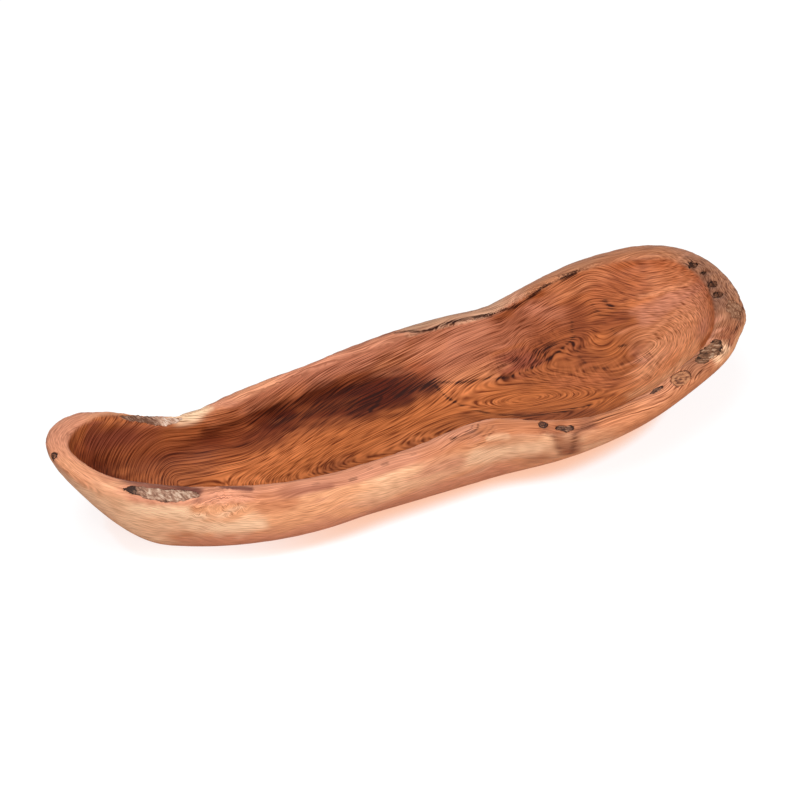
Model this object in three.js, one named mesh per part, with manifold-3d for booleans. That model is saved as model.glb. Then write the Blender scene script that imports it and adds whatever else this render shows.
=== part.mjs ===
// A long wooden bowl, carved out of one piece of root wood: a deep trough that runs up into a raked prow on
// the left, and a wide, shallow scoop on the right. The rim is the live edge of the root, so it rises, dips and
// bulges. Dead knots, pockets of bark and the filler in a crack are bodies of their own: each is seated in a
// pocket of the wood, with its face in line with the wood's surface.
//
// Millimetres, +Z up. +X runs along the bowl from the prow to the scoop, and -Y is the front.

import * as THREE from "three";
import { mergeVertices } from "three/addons/utils/BufferGeometryUtils.js";
import Module from "manifold-3d";

const wasm = await Module();
wasm.setup();

const { degToRad, lerp, radToDeg, smoothstep } = THREE.MathUtils;
const up = new THREE.Vector3(0, 0, 1);

// Driving dimensions.

const hollowLength = 529; // mouth of the hollow, from end to end
const hollowWidth = 170; // mouth of the hollow, across the scoop
const rimHeight = 51; // lowest place of the hollow's edge, above the table
const rimRise = 31; // how far the edge climbs from there to the prow's tip
const rimWidth = 16; // usual width of the rim, from the hollow's edge to the outer crest
const rimFall = 8; // usual fall of the rim to the outer crest, along the front
const rimCrown = 3.2; // height of the rounded top of the rim
const bellySwell = 8; // how far the outside swells past the crest, where it is fullest
const undercut = 2; // how far the hollow widens under its edge, along the trough
const baseLength = 396; // flat that the bowl stands on
const baseWidth = 92;
const baseShiftX = -18; // middle of the flat, from the middle of the hollow's mouth
const baseShiftY = -8;
const baseSquareness = 2.6; // 2 is an ellipse, and more is squarer
const floorThickness = 12; // wood under the lowest part of the hollow
const floorLength = 300; // deepest line of the hollow, along the bowl
const scoopRise = 7; // the scoop is cut less deep than the trough
const seatClearance = 0.3; // between each knot or piece of bark and its pocket

// Facets.

const stationsAround = 132;
const stepsDownHollow = 12;
const stepsOverRim = 6;
const stepsDownOutside = 9;
const edgeSamples = 1600;
const lensRings = 10;
const lensSides = 10;

// The hollow's edge, seen from above and going round from the prow's tip by the front: x as a share of half the
// hollow's length, y as a share of half its width, and the height as a share of rimRise.

const hollowEdge = [
  [-1.0, 0.05, 1.0],
  [-0.943, -0.225, 0.68],
  [-0.8, -0.405, 0.31],
  [-0.602, -0.59, 0.08],
  [-0.412, -0.69, 0.0],
  [-0.148, -0.715, 0.11],
  [0.022, -0.675, 0.24],
  [0.132, -0.7, 0.32],
  [0.255, -0.845, 0.19],
  [0.397, -0.97, 0.18],
  [0.566, -0.925, 0.29],
  [0.738, -0.72, 0.42],
  [0.882, -0.475, 0.58],
  [0.966, -0.12, 0.73],
  [1.01, 0.43, 0.8],
  [0.963, 0.83, 0.74],
  [0.82, 0.99, 0.63],
  [0.683, 1.0, 0.53],
  [0.531, 0.875, 0.48],
  [0.37, 0.725, 0.45],
  [0.153, 0.735, 0.44],
  [-0.148, 0.665, 0.35],
  [-0.414, 0.545, 0.26],
  [-0.56, 0.42, 0.16],
  [-0.628, 0.42, 0.03],
  [-0.703, 0.425, 0.15],
  [-0.813, 0.435, 0.52],
  [-0.913, 0.415, 0.86],
  [-0.976, 0.26, 0.99],
];

// How the wall's section changes round the bowl. at is the direction from the bowl's middle in degrees, in a
// plan squeezed to a circle: 0 is the scoop's end, 90 the back, 180 the prow and 270 the front.

// The rim's width and its fall to the outer crest, as shares of rimWidth and rimFall.
const rimSchedule = [
  { at: 0, width: 1.45, fall: 0.35 },
  { at: 22, width: 1.22, fall: 0.05 },
  { at: 42, width: 1.2, fall: 0.05 },
  { at: 62, width: 0.85, fall: 0.2 },
  { at: 85, width: 0.75, fall: 0.05 },
  { at: 115, width: 0.45, fall: 0 },
  { at: 152, width: 0.85, fall: -0.1 },
  { at: 165, width: 1, fall: -0.1 },
  { at: 180, width: 0.95, fall: -0.15 },
  { at: 205, width: 0.98, fall: 0.4 },
  { at: 222, width: 0.85, fall: 0.6 },
  { at: 238, width: 0.95, fall: 0.75 },
  { at: 256, width: 1.1, fall: 0.95 },
  { at: 274, width: 1.12, fall: 1.05 },
  { at: 286, width: 1, fall: 0.9 },
  { at: 300, width: 1, fall: 0.95 },
  { at: 335, width: 1.3, fall: 1 },
  { at: 350, width: 1.6, fall: 0.7 },
];

// The outside: its swell past the crest as a share of bellySwell, how far down it keeps upright as a share of
// its height, and how far out the underside stays low, from 0 at the flat's edge to 1 under the crest.
const outsideSchedule = [
  { at: 0, swell: 0, plumb: 0.15, lowReach: 0.35 },
  { at: 40, swell: 0.25, plumb: 0.3, lowReach: 0.4 },
  { at: 62, swell: 0.6, plumb: 0.5, lowReach: 0.5 },
  { at: 90, swell: 1, plumb: 0.6, lowReach: 0.55 },
  { at: 152, swell: 1, plumb: 0.6, lowReach: 0.55 },
  { at: 165, swell: 0.5, plumb: 0.4, lowReach: 0.45 },
  { at: 180, swell: 0, plumb: 0.2, lowReach: 0.3 },
  { at: 205, swell: 0.2, plumb: 0.3, lowReach: 0.28 },
  { at: 228, swell: 1.6, plumb: 0.5, lowReach: 0.6 },
  { at: 240, swell: 1.5, plumb: 0.5, lowReach: 0.6 },
  { at: 262, swell: 0.2, plumb: 0.35, lowReach: 0.33 },
  { at: 282, swell: 0.2, plumb: 0.2, lowReach: 0.25 },
  { at: 300, swell: 0.4, plumb: 0.15, lowReach: 0.2 },
  { at: 335, swell: 0, plumb: 0.1, lowReach: 0.17 },
];

// The hollow: how far down its wall keeps upright as a share of its depth, how far out its floor stays level,
// from 0 at the flat's edge to 1 under the rim, and the undercut as a share of its full size.
const hollowSchedule = [
  { at: 0, plumb: 0.5, floorReach: 0.5, under: 0 },
  { at: 60, plumb: 0.55, floorReach: 0.55, under: 0 },
  { at: 90, plumb: 0.8, floorReach: 0.8, under: 0.5 },
  { at: 120, plumb: 0.85, floorReach: 0.85, under: 1 },
  { at: 165, plumb: 0.85, floorReach: 0.8, under: 1 },
  { at: 180, plumb: 0.8, floorReach: 0.7, under: 1.5 },
  { at: 215, plumb: 0.8, floorReach: 0.8, under: 1 },
  { at: 240, plumb: 0.8, floorReach: 0.85, under: 0 },
  { at: 275, plumb: 0.7, floorReach: 0.7, under: 0 },
  { at: 305, plumb: 0.5, floorReach: 0.5, under: 0 },
];

// The knots, the pieces of bark and the crack's filler. at is the direction round the bowl, as above, and
// place is where on the rim the middle lies, from 0 at the hollow's edge to 1 at the crest. length runs along
// the rim, width across it and depth into the wood, all as shares of rimWidth.
const inclusions = [
  { name: "prow_knot", kind: "knot", at: 178.5, place: 0.8, length: 0.375, width: 0.31, depth: 0.44 },
  { name: "front_bark_pocket", kind: "bark", at: 207.4, place: 0.66, length: 3.3, width: 0.72, depth: 0.32 },
  { name: "notch_bark", kind: "bark", at: 149.5, place: 0.5, length: 3.5, width: 0.74, depth: 0.27 },
  { name: "rim_knot", kind: "knot", at: 287, place: 0.42, length: 0.46, width: 0.46, depth: 0.5 },
  { name: "crack_filler", kind: "filler", at: 289.1, place: 0.6, length: 0.95, width: 0.34, depth: 0.32 },
  { name: "slit_inclusion", kind: "filler", at: 304.4, place: 0.3, length: 0.9, width: 0.27, depth: 0.27 },
  { name: "eye_knot", kind: "knot", at: 311.3, place: 0.5, length: 1.3, width: 0.8, depth: 0.45 },
  { name: "front_bark_patch", kind: "bark", at: 324.3, place: 0.45, length: 2.3, width: 0.8, depth: 0.38 },
  { name: "end_bark_patch", kind: "bark", at: 349.6, place: 0.58, length: 1.5, width: 0.95, depth: 0.38 },
  { name: "end_bark_crater_1", kind: "crater", at: 27.5, place: 0.25, length: 0.75, width: 0.56, depth: 0.32 },
  { name: "end_bark_crater_2", kind: "crater", at: 19.5, place: 0.25, length: 0.42, width: 0.36, depth: 0.3 },
  { name: "end_bark_crater_3", kind: "crater", at: 9.5, place: 0.25, length: 0.82, width: 0.64, depth: 0.32 },
  { name: "end_bark_crater_4", kind: "crater", at: 0, place: 0.27, length: 0.75, width: 0.6, depth: 0.32 },
];

// sunk is how far the face lies below the wood's, as a share of rimWidth, and uneven is how rough the outline
// is, as a share of the inclusion's width.
const kinds = {
  knot: { sunk: 0.03, uneven: 0.1, color: 0x5a3220, roughness: 0.7 },
  bark: { sunk: 0.055, uneven: 0.2, color: 0x8b7560, roughness: 0.9 },
  crater: { sunk: 0.12, uneven: 0.2, color: 0x46301f, roughness: 0.95 },
  filler: { sunk: 0.025, uneven: 0.25, color: 0x3a2118, roughness: 0.6 },
};
const woodFinish = { color: 0xb9703f, roughness: 0.45 };

// The surface of the bowl.

function turnOf(x, y) {
  return (Math.atan2(y / hollowWidth, x / hollowLength) + 2 * Math.PI) % (2 * Math.PI);
}

const edgeRing = sampleEdge();

function sampleEdge() {
  const points = hollowEdge.map(
    ([along, across, rise]) =>
      new THREE.Vector3((along * hollowLength) / 2, (across * hollowWidth) / 2, rimHeight + rise * rimRise),
  );
  const curve = new THREE.CatmullRomCurve3(points, true, "centripetal");
  const ring = curve.getSpacedPoints(edgeSamples).slice(0, -1);
  return ring.map((point) => ({ point, turn: turnOf(point.x, point.y) })).sort((a, b) => a.turn - b.turn);
}

// The hollow's edge at a turn round the bowl, with the outward direction there.
function edgeAt(turn) {
  const count = edgeRing.length;
  const next = edgeRing.findIndex((sample) => sample.turn >= turn);
  const after = next < 0 ? count : next;
  const a = edgeRing[(after + count - 1) % count];
  const b = edgeRing[after % count];
  const gap = (b.turn - a.turn + 2 * Math.PI) % (2 * Math.PI);
  const share = ((turn - a.turn + 2 * Math.PI) % (2 * Math.PI)) / gap;
  const reach = Math.round(count / 130);
  const along = edgeRing[(after + reach) % count].point.clone();
  along.sub(edgeRing[(after + count - reach) % count].point);
  return {
    edge: a.point.clone().lerp(b.point, share),
    outward: new THREE.Vector3(along.y, -along.x, 0).normalize(),
  };
}

// A schedule's values at a turn, eased between its places.
function scheduleAt(schedule, turn) {
  const degrees = radToDeg(turn);
  const next = schedule.findIndex((row) => row.at > degrees);
  const b = next < 0 ? { ...schedule[0], at: 360 } : schedule[next];
  const a = next < 0 ? schedule[schedule.length - 1] : schedule[next - 1];
  const share = smoothstep(degrees, a.at, b.at);
  return Object.fromEntries(Object.keys(a).map((key) => [key, lerp(a[key], b[key], share)]));
}

// A point of the flat's outline, a squared ellipse.
function flatEdge(turn) {
  const power = 2 / baseSquareness;
  const along = Math.sign(Math.cos(turn)) * Math.abs(Math.cos(turn)) ** power;
  const across = Math.sign(Math.sin(turn)) * Math.abs(Math.sin(turn)) ** power;
  return new THREE.Vector3(baseShiftX + (along * baseLength) / 2, baseShiftY + (across * baseWidth) / 2, 0);
}

// A point of the hollow's deepest line.
function floorPoint(turn) {
  const along = Math.cos(turn);
  const rise = scoopRise * smoothstep(along, -0.2, 0.9);
  return new THREE.Vector3(baseShiftX + (along * floorLength) / 2, baseShiftY, floorThickness + rise);
}

// The three curves of the section at a turn: down in the hollow, over the rim and down the outside.
function sectionAt(turn) {
  const { edge, outward } = edgeAt(turn);
  const rim = scheduleAt(rimSchedule, turn);
  const outside = scheduleAt(outsideSchedule, turn);
  const hollow = scheduleAt(hollowSchedule, turn);
  const width = rimWidth * rim.width;
  const fall = rimFall * rim.fall;
  const foot = flatEdge(turn);
  const floor = floorPoint(turn);
  const crest = edge.clone().addScaledVector(outward, width).addScaledVector(up, -fall);
  const floorCorner = foot.clone().lerp(edge, hollow.floorReach).setZ(floor.z);
  const shift = (from, out, rise) => from.clone().addScaledVector(outward, out).addScaledVector(up, rise);
  return {
    hollow: new THREE.CubicBezierCurve3(
      floor,
      floor.clone().lerp(floorCorner, 0.75),
      shift(edge, undercut * hollow.under, -hollow.plumb * (edge.z - floor.z)),
      edge,
    ),
    rim: new THREE.CubicBezierCurve3(
      edge,
      shift(edge, width * 0.1, rimCrown),
      shift(crest, -width * 0.1, rimCrown + fall * 0.6),
      crest,
    ),
    outside: new THREE.CubicBezierCurve3(
      crest,
      shift(crest, bellySwell * outside.swell, -outside.plumb * crest.z),
      foot.clone().lerp(crest, outside.lowReach).setZ(0),
      foot,
    ),
  };
}

function profileAt(turn) {
  const { hollow, rim, outside } = sectionAt(turn);
  return [
    ...hollow.getPoints(stepsDownHollow),
    ...rim.getPoints(stepsOverRim).slice(1),
    ...outside.getPoints(stepsDownOutside).slice(1),
  ];
}

// The whole bowl as one closed skin. Front and back stations pair up, so the hollow closes along its deepest
// line, and the flat is stitched straight across.
function carvedGeometry() {
  const turns = Array.from({ length: stationsAround }, (_, i) => (2 * Math.PI * i) / stationsAround);
  const profiles = turns.map(profileAt);
  const rows = profiles[0].length;
  const at = (station, row) => ((station + stationsAround) % stationsAround) * rows + row;
  const faces = [];
  for (let i = 0; i < stationsAround; i++) {
    for (let row = 0; row + 1 < rows; row++) {
      faces.push(at(i, row), at(i + 1, row + 1), at(i + 1, row));
      faces.push(at(i, row), at(i, row + 1), at(i + 1, row + 1));
    }
  }
  const half = stationsAround / 2;
  const last = rows - 1;
  for (let i = 0; i < half; i++) {
    if (i > 0) faces.push(at(i, last), at(-i, last), at(i + 1, last));
    if (i + 1 < half) faces.push(at(i + 1, last), at(-i, last), at(-i - 1, last));
  }
  const geometry = new THREE.BufferGeometry();
  const positions = profiles.flat().flatMap((point) => point.toArray());
  geometry.setAttribute("position", new THREE.Float32BufferAttribute(positions, 3));
  geometry.setIndex(faces);
  return geometry;
}

// Solids, and the cutting of pockets.

function toSolid(geometry) {
  const bare = geometry.clone();
  bare.deleteAttribute("normal");
  bare.deleteAttribute("uv");
  const merged = mergeVertices(bare, 1e-3);
  const mesh = new wasm.Mesh({
    numProp: 3,
    vertProperties: Float32Array.from(merged.attributes.position.array),
    triVerts: Uint32Array.from(merged.index.array),
  });
  mesh.merge();
  return new wasm.Manifold(mesh);
}

function toGeometry(solid) {
  const mesh = solid.getMesh();
  const geometry = new THREE.BufferGeometry();
  geometry.setAttribute("position", new THREE.Float32BufferAttribute(mesh.vertProperties, 3));
  geometry.setIndex(Array.from(mesh.triVerts));
  return geometry;
}

// A point on the rim, with the directions along it, across it and out of the wood.
function rimFrame(turn, place) {
  const step = 0.004;
  const onRim = (angle, share) => sectionAt((angle + 2 * Math.PI) % (2 * Math.PI)).rim.getPoint(share);
  const point = onRim(turn, place);
  const along = onRim(turn + step, place).sub(onRim(turn - step, place)).divideScalar(2 * step);
  const speed = along.length(); // millimetres of rim to a radian of turn
  const across = onRim(turn, place + 0.02).sub(onRim(turn, place - 0.02)).normalize();
  const outOfWood = across.clone().cross(along).normalize();
  return { point, across, outOfWood, speed };
}

// A lens that follows the rim. It is widest and deepest in the middle, and stands out of the wood as far as it
// reaches in. extra is added all round, for the pocket.
function lensGeometry({ kind, at, place, length, width, depth }, extra) {
  const centre = degToRad(at);
  const halfTurn = ((length * rimWidth) / 2 + extra) / rimFrame(centre, place).speed;
  const positions = [];
  const faces = [];
  for (let ring = 0; ring <= lensRings; ring++) {
    const along = -Math.cos((Math.PI * ring) / lensRings);
    const girth = Math.sqrt(Math.max(0, 1 - along * along));
    const { point, across, outOfWood } = rimFrame(centre + along * halfTurn, place);
    for (let side = 0; side < lensSides; side++) {
      const angle = (2 * Math.PI * side) / lensSides;
      const outline = 1 + kinds[kind].uneven * Math.sin(5 * along + 2 * Math.cos(angle) + at);
      const out = point
        .clone()
        .addScaledVector(across, girth * Math.cos(angle) * ((outline * width * rimWidth) / 2 + extra))
        .addScaledVector(outOfWood, girth * Math.sin(angle) * (depth * rimWidth + extra));
      positions.push(out.x, out.y, out.z);
    }
  }
  for (let ring = 0; ring < lensRings; ring++) {
    for (let side = 0; side < lensSides; side++) {
      const a = ring * lensSides + side;
      const b = ring * lensSides + ((side + 1) % lensSides);
      if (ring > 0) faces.push(a, b + lensSides, b);
      if (ring + 1 < lensRings) faces.push(a, a + lensSides, b + lensSides);
    }
  }
  const geometry = new THREE.BufferGeometry();
  geometry.setAttribute("position", new THREE.Float32BufferAttribute(positions, 3));
  geometry.setIndex(faces);
  return geometry;
}

// What fills a pocket: the lens up to a face that follows the wood's surface, and lies sunk below it.
function inclusionSolid(inclusion) {
  const { outOfWood } = rimFrame(degToRad(inclusion.at), inclusion.place);
  const down = outOfWood.multiplyScalar(-kinds[inclusion.kind].sunk * rimWidth);
  return toSolid(lensGeometry(inclusion, 0)).intersect(carved.translate(down.toArray()));
}

// Assembly.

function namedMesh(name, solid, { color, roughness }) {
  const material = new THREE.MeshStandardMaterial({ color, roughness, metalness: 0 });
  const mesh = new THREE.Mesh(toGeometry(solid), material);
  mesh.name = name;
  return mesh;
}

const carved = toSolid(carvedGeometry());
const pockets = inclusions.map((inclusion) => toSolid(lensGeometry(inclusion, seatClearance)));
const body = pockets.reduce((solid, pocket) => solid.subtract(pocket), carved);

const bowl = new THREE.Group();
bowl.add(namedMesh("bowl_body", body, woodFinish));
inclusions.forEach((inclusion) => {
  bowl.add(namedMesh(inclusion.name, inclusionSolid(inclusion), kinds[inclusion.kind]));
});

// The bowl stands with the middle of its outline over the origin.
const middle = new THREE.Box3().setFromObject(bowl).getCenter(new THREE.Vector3());
bowl.position.set(-middle.x, -middle.y, 0);

export default bowl;
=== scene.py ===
import math

import bpy
import bmesh
import numpy as np
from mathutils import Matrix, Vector
from mathutils.kdtree import KDTree


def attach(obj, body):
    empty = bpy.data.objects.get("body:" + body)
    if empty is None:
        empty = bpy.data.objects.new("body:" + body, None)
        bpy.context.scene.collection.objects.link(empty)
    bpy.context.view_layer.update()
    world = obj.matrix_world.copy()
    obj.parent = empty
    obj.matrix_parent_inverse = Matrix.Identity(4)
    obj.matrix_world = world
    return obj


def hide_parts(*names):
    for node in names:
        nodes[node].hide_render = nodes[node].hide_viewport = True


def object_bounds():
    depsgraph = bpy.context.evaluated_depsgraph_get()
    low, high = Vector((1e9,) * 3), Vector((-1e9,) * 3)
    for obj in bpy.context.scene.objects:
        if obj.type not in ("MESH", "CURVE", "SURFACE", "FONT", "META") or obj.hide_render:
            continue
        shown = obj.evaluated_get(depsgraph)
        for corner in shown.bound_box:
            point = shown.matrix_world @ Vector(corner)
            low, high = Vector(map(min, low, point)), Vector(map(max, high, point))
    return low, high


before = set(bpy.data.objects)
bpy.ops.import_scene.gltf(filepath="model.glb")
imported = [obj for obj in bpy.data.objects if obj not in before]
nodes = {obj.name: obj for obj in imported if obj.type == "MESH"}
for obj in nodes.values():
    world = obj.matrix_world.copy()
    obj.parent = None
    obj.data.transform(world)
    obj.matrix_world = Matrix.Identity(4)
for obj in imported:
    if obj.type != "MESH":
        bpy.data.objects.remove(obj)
cadLow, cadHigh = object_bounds()
scene = bpy.context.scene
scene.view_settings.view_transform = "Standard"
print("frame loaded:", len(nodes), "nodes")


# camera, floor and light

view = {
    "target": (0.0149, 0.0670, 0.0),
    "turn": 24.6,            # degrees, the bowl's long side runs right and away
    "height": 35.0,          # degrees above the table
    "distance": 1.5,
    "lens": 84.375,          # mm, as is the sensor
    "sensor": 36.0,
}

# lengths in metres
studio = {
    "worldStrength": 0.28,
    "floorColor": "#C4B0A8",                 # what the floor sends back to the wood
    "floorRadius": 6.0,
    # the camera sees the floor as a glow, and the light that falls there brings it up to white
    "openFloor": (0.90, 0.82, 0.81, 1.0),
    # painted shadow: the warm color that the floor's glow takes close under the bowl
    "paintedShadowColor": (0.86, 0.43, 0.27, 1.0),  # close under the bowl, warmed by the wood
    "farFloor": (1.0, 1.0, 1.0, 1.0),
    "farRun": (0.5, 1.6),                    # how far out the open floor turns into the far one
    "lightShare": (0.2, 0.32, 0.34, 1.0),    # how much of that light it sees
    "shadeReach": 0.015,
    "shadeRun": (0.3, 0.86),                 # openness of the floor where the shade is full, and where gone
    # left of this the painted shadow is faded out by place, under the raised prow
    "prowRun": (-0.2, -0.05),                # left of this the raised prow keeps its shade faint
    "prowLift": 0.85,
    "lampTarget": (0.0, 0.0, 0.03),
    "lamps": [
        # name, place, size, watts
        ("softboxAbove", (-0.35, -0.2, 1.5), 1.0, 12.5),
        ("softboxFront", (-0.15, -1.5, 0.75), 0.9, 14.0),
    ],
}


def linear(hexColor):
    # sRGB hex to the linear values that Blender's sockets take
    parts = [int(hexColor[k:k + 2], 16) / 255 for k in (1, 3, 5)]
    return tuple(p / 12.92 if p <= 0.04045 else ((p + 0.055) / 1.055) ** 2.4 for p in parts) + (1.0,)


def addNode(tree, kind, settings=None, inputs=None, stops=None):
    # an input takes a value, a socket to link from, or a node, which stands for its first output
    made = tree.nodes.new("ShaderNode" + kind)
    for name, value in (settings or {}).items():
        setattr(made, name, value)
    for key, value in (inputs or {}).items():
        if isinstance(value, bpy.types.Node):
            value = value.outputs[0]
        if isinstance(value, bpy.types.NodeSocket):
            tree.links.new(value, made.inputs[key])
        else:
            made.inputs[key].default_value = value
    if stops:
        ramp = made.color_ramp.elements
        ramp[1].position = stops[-1][0]
        ramp[0].position = stops[0][0]
        for position, _ in stops[1:-1]:
            ramp.new(position)
        for stop, (_, color) in zip(ramp, stops):
            stop.color = linear(color) if isinstance(color, str) else (color, color, color, 1.0)
    return made


# settings that many nodes share
smoothStep = {"interpolation_type": "SMOOTHSTEP"}
colorMix = {"data_type": "RGBA"}
maximum = {"operation": "MAXIMUM"}
multiplyAdd = {"operation": "MULTIPLY_ADD"}
subtract = {"operation": "SUBTRACT"}


def aimed(obj, place, target):
    obj.location = place
    obj.rotation_euler = (Vector(target) - Vector(place)).to_track_quat("-Z", "Y").to_euler()
    scene.collection.objects.link(obj)
    return obj


turn, height = math.radians(view["turn"]), math.radians(view["height"])
ahead = Vector((math.sin(turn) * math.cos(height), math.cos(turn) * math.cos(height), -math.sin(height)))
cameraData = bpy.data.cameras.new("studioCamera")
cameraData.lens = view["lens"]
cameraData.sensor_width = view["sensor"]
place = Vector(view["target"]) - ahead * view["distance"]
scene.camera = aimed(bpy.data.objects.new("studioCamera", cameraData), place, view["target"])

for name, spot, size, watts in studio["lamps"]:
    lampData = bpy.data.lights.new(name, "AREA")
    lampData.shape = "DISK"
    lampData.size = size
    lampData.energy = watts
    aimed(bpy.data.objects.new(name, lampData), spot, studio["lampTarget"])

world = bpy.data.worlds.new("whiteStudio")
scene.world = world
world.use_nodes = True
tree = world.node_tree
tree.nodes.clear()
ray = addNode(tree, "LightPath")
seen = addNode(tree, "Math", maximum, {0: ray.outputs["Is Camera Ray"], 1: ray.outputs["Is Glossy Ray"]})
strength = addNode(tree, "MapRange", None, {"Value": seen, "To Min": studio["worldStrength"], "To Max": 1.0})
sky = addNode(tree, "Background", None, {"Color": (1, 1, 1, 1), "Strength": strength})
addNode(tree, "OutputWorld", None, {"Surface": sky})


def newMaterial(name):
    material = bpy.data.materials.new(name)
    material.use_nodes = True
    material.node_tree.nodes.clear()
    return material, material.node_tree


# matt white paper: it mirrors nothing, and shows the lamps' soft real shade and, close to the wood, a warm
# painted shadow that ambient occlusion places in its glow
floorPaint, tree = newMaterial("mattWhiteSweep")
ray = addNode(tree, "LightPath")
bounce = addNode(tree, "BsdfDiffuse", None, {"Color": linear(studio["floorColor"])})
lit = addNode(tree, "BsdfDiffuse", None, {"Color": studio["lightShare"]})
# ambient occlusion places the painted shadow
near = addNode(tree, "AmbientOcclusion", {"samples": 8}, {"Distance": studio["shadeReach"]})
shadeFull, shadeGone = studio["shadeRun"]
openness = addNode(tree, "MapRange", None,
                   {"Value": near.outputs["AO"], "From Min": shadeFull, "From Max": shadeGone})
spot = addNode(tree, "TexCoord").outputs["Object"]
spotX = addNode(tree, "SeparateXYZ", None, {"Vector": spot}).outputs["X"]
prowFull, prowGone = studio["prowRun"]
underProw = addNode(tree, "MapRange", smoothStep,
                    {"Value": spotX, "From Min": prowFull, "From Max": prowGone,
                     "To Min": studio["prowLift"], "To Max": 0.0})
openness = addNode(tree, "Math", maximum, {0: openness, 1: underProw})
away = addNode(tree, "VectorMath", {"operation": "LENGTH"}, {0: spot}).outputs["Value"]
farStart, farEnd = studio["farRun"]
farOff = addNode(tree, "MapRange", smoothStep, {"Value": away, "From Min": farStart, "From Max": farEnd})
farGlow = addNode(tree, "Mix", colorMix, {0: farOff, 6: studio["openFloor"], 7: studio["farFloor"]})
glowAndShadowColor = addNode(tree, "Mix", colorMix, {0: openness, 6: studio["paintedShadowColor"], 7: farGlow.outputs[2]})
glowAndPaintedShadow = addNode(tree, "Emission", None, {"Color": glowAndShadowColor.outputs[2], "Strength": 1.0})
shown = addNode(tree, "AddShader", None, {0: lit, 1: glowAndPaintedShadow})
mixed = addNode(tree, "MixShader", None, {0: ray.outputs["Is Camera Ray"], 1: bounce, 2: shown})
addNode(tree, "OutputMaterial", None, {"Surface": mixed})

bm = bmesh.new()
bmesh.ops.create_circle(bm, cap_ends=True, segments=96, radius=studio["floorRadius"])
floorMesh = bpy.data.meshes.new("studioFloor")
bm.to_mesh(floorMesh)
bm.free()
floorMesh.materials.append(floorPaint)
floor = bpy.data.objects.new("studioFloor", floorMesh)
scene.collection.objects.link(floor)
print("camera, floor and light in place")


# the carved wood

carving = {
    "voxel": 0.0022,         # grid of the fine surface, metres
    "easing": 22,            # rounds of smoothing that take the facets away
    # the live edge, in mm
    "rimSway": 0.15,         # slow unevenness, and the size of its waves
    "swaySize": 60,
    "rimGrain": 0.05,        # small unevenness
    "grainSize": 9,
    "outerEdge": 0.35,       # share of both that goes on down the outside
    "foldDepth": 0.8,        # creases where the rim is pinched
    "crestRise": 0.9,        # line that stands up along the pinched rim
    "crestReach": 3.5,
    "burlPlace": (-181, -60, 51),
    "burlReach": (20, 12, 9),
    "burlRise": 1.2,         # swell of the burl on the front rim
    "burlSize": 5.0,         # curls of the burl
    "burlDepth": 0.7,
    "stripReach": 5.0,       # strip of bark along the rear rim, and the lumps on it
    "stripLumps": 0.35,
    "lumpSize": 5,
    "grooveShift": (0, 4, 3),
    "grooveReach": 1.6,      # groove that shows under the strip
    "grooveDepth": 0.8,
}

# how the rim is found on the fine surface
rimSearch = {
    "squash": 0.32,          # the bowl's width over its length
    "step": 1.5,             # degrees round the plan
    "window": 1.3,           # degrees to each side of a step
    "crown": 3.5,            # mm below the top that still belong to the rim
    "rounds": 3,             # of smoothing
    "inwardTurn": 0.3,       # lean of the surface that tells the hollow from the outside
    "hollowRun": 5.0,        # mm in which the rim turns into the hollow
    "outsideRun": 6.0,       # and into the outside
    "outsideFall": (8.0, 14.0),
}

# where the surface gets a finer mesh: reach in mm, then points along it
fineSpots = [
    (5, [(-115, -69, 51), (-86, -74, 51), (-71, -70, 53), (-60, -71, 54), (-36, -71, 55)]),
    (15, [(30, -72, 60), (7, -74, 56), (-22, -77, 52)]),
    (13, [(-205, -47, 60), (-180, -60, 52), (-164, -66, 48)]),
    (11, [(139, -87, 58), (205, -70, 62), (240, -52, 64), (268, -20, 70), (272, 10, 75), (262, 48, 76)]),
    (6, [(19, 63, 66), (51, 61, 64), (87, 60, 65), (118, 67, 63), (145, 76, 67), (192, 83, 69)]),
]

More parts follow.
